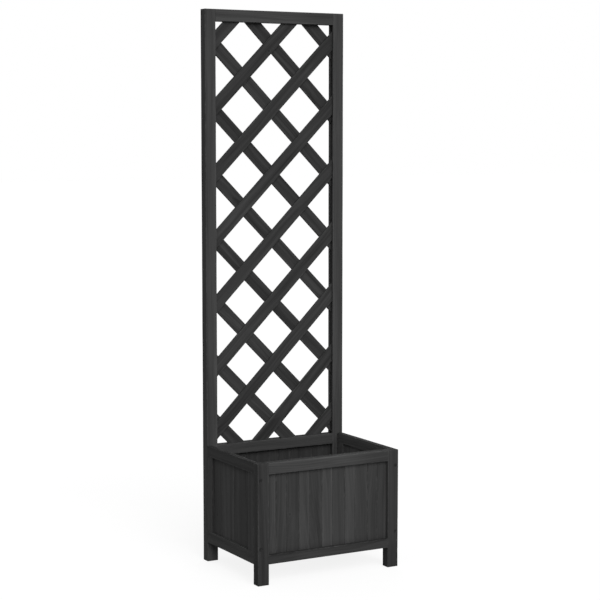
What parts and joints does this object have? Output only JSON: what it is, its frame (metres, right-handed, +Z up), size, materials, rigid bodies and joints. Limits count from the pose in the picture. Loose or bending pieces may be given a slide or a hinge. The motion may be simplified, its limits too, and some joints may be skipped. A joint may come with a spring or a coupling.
{
  "type": "planter with trellis",
  "caption": "Rectangular wooden planter box on short legs, whose tall back posts carry a narrow diagonal lattice for climbing plants.",
  "frame": {"origin": "on the ground under the middle of the 400 x 300 mm footprint", "axes": "+Z up; -Y is the front of the planter and +Y the trellis side; +X to the right of someone facing the front"},
  "size_m": [0.4, 0.3, 1.4],
  "materials": {
    "frame_wood": "black stain, satin, fir grain showing through",
    "panel_wood": "black stain, satin, tone differs from board to board",
    "lattice_wood": "black stain, satin, planed slats",
    "steel": "darkened steel screw and nail heads"
  },
  "bodies": {
    "root": {"back_post_left": "frame_wood", "back_post_right": "frame_wood", "front_leg_left": "frame_wood", "front_leg_right": "frame_wood", "front_top_rail": "frame_wood", "front_bottom_rail": "frame_wood", "back_bottom_rail": "frame_wood", "trellis_lower_rail": "frame_wood", "trellis_top_rail": "frame_wood", "side_top_rail_left": "frame_wood", "side_bottom_rail_left": "frame_wood", "side_front_stile_left": "frame_wood", "side_back_stile_left": "frame_wood", "side_top_rail_right": "frame_wood", "side_bottom_rail_right": "frame_wood", "side_front_stile_right": "frame_wood", "side_back_stile_right": "frame_wood", "front_board_1": "panel_wood", "front_board_2": "panel_wood", "front_board_3": "panel_wood", "front_board_4": "panel_wood", "front_board_5": "panel_wood", "front_board_6": "panel_wood", "back_board_1": "panel_wood", "back_board_2": "panel_wood", "back_board_3": "panel_wood", "back_board_4": "panel_wood", "back_board_5": "panel_wood", "back_board_6": "panel_wood", "left_board_1": "panel_wood", "left_board_2": "panel_wood", "left_board_3": "panel_wood", "left_board_4": "panel_wood", "right_board_1": "panel_wood", "right_board_2": "panel_wood", "right_board_3": "panel_wood", "right_board_4": "panel_wood", "rising_slat_1": "lattice_wood", "rising_slat_2": "lattice_wood", "rising_slat_3": "lattice_wood", "rising_slat_4": "lattice_wood", "rising_slat_5": "lattice_wood", "rising_slat_6": "lattice_wood", "rising_slat_7": "lattice_wood", "rising_slat_8": "lattice_wood", "rising_slat_9": "lattice_wood", "falling_slat_1": "lattice_wood", "falling_slat_2": "lattice_wood", "falling_slat_3": "lattice_wood", "falling_slat_4": "lattice_wood", "falling_slat_5": "lattice_wood", "falling_slat_6": "lattice_wood", "falling_slat_7": "lattice_wood", "falling_slat_8": "lattice_wood", "falling_slat_9": "lattice_wood", "base_cleats": "frame_wood", "base_boards": "frame_wood", "frame_screws": "steel", "lattice_brads": "steel", "base_brads": "steel"}
  },
  "joints": []
}
